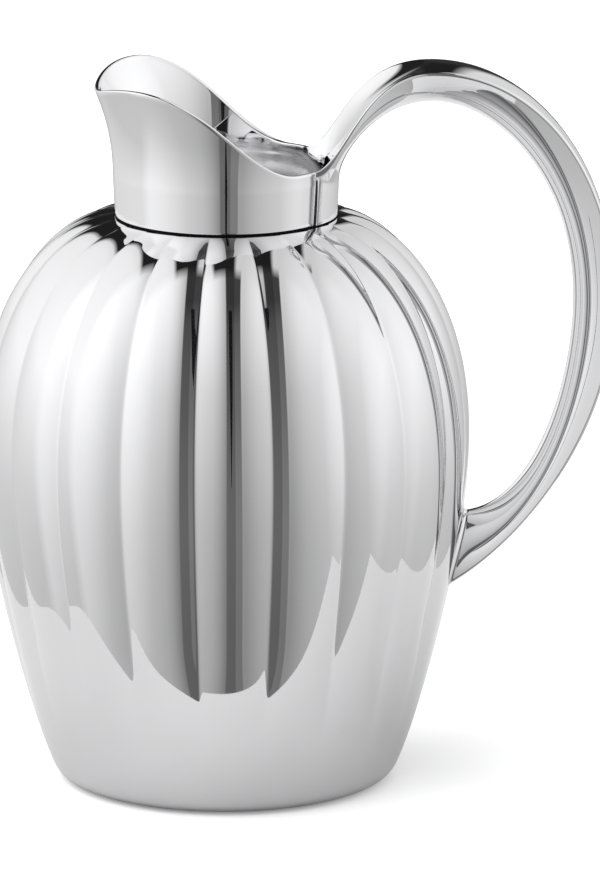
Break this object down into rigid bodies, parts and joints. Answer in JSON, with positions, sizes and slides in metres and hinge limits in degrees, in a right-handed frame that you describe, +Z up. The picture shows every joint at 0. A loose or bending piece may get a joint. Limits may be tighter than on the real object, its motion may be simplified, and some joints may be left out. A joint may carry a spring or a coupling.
{
  "type": "milk jug",
  "caption": "Open milk jug of polished steel: a round belly pressed into shallow lobes, a smooth collar with a pouring lip, and a loop handle from collar to belly.",
  "frame": {"origin": "middle of the underside, on the axis of the belly, where the jug stands on the table", "axes": "+Z up along the belly's axis, +X towards the handle, so the lip pours towards -X"},
  "size_m": [0.1129, 0.0872, 0.1287],
  "materials": {
    "polished_belly": "mirror-polished stainless steel",
    "satin_base": "satin stainless steel",
    "polished_collar": "mirror-polished stainless steel",
    "polished_handle": "mirror-polished stainless steel, solid"
  },
  "bodies": {
    "root": {"lobed_belly": "polished_belly", "base_plate": "satin_base", "pouring_collar": "polished_collar", "loop_handle": "polished_handle"}
  },
  "joints": []
}
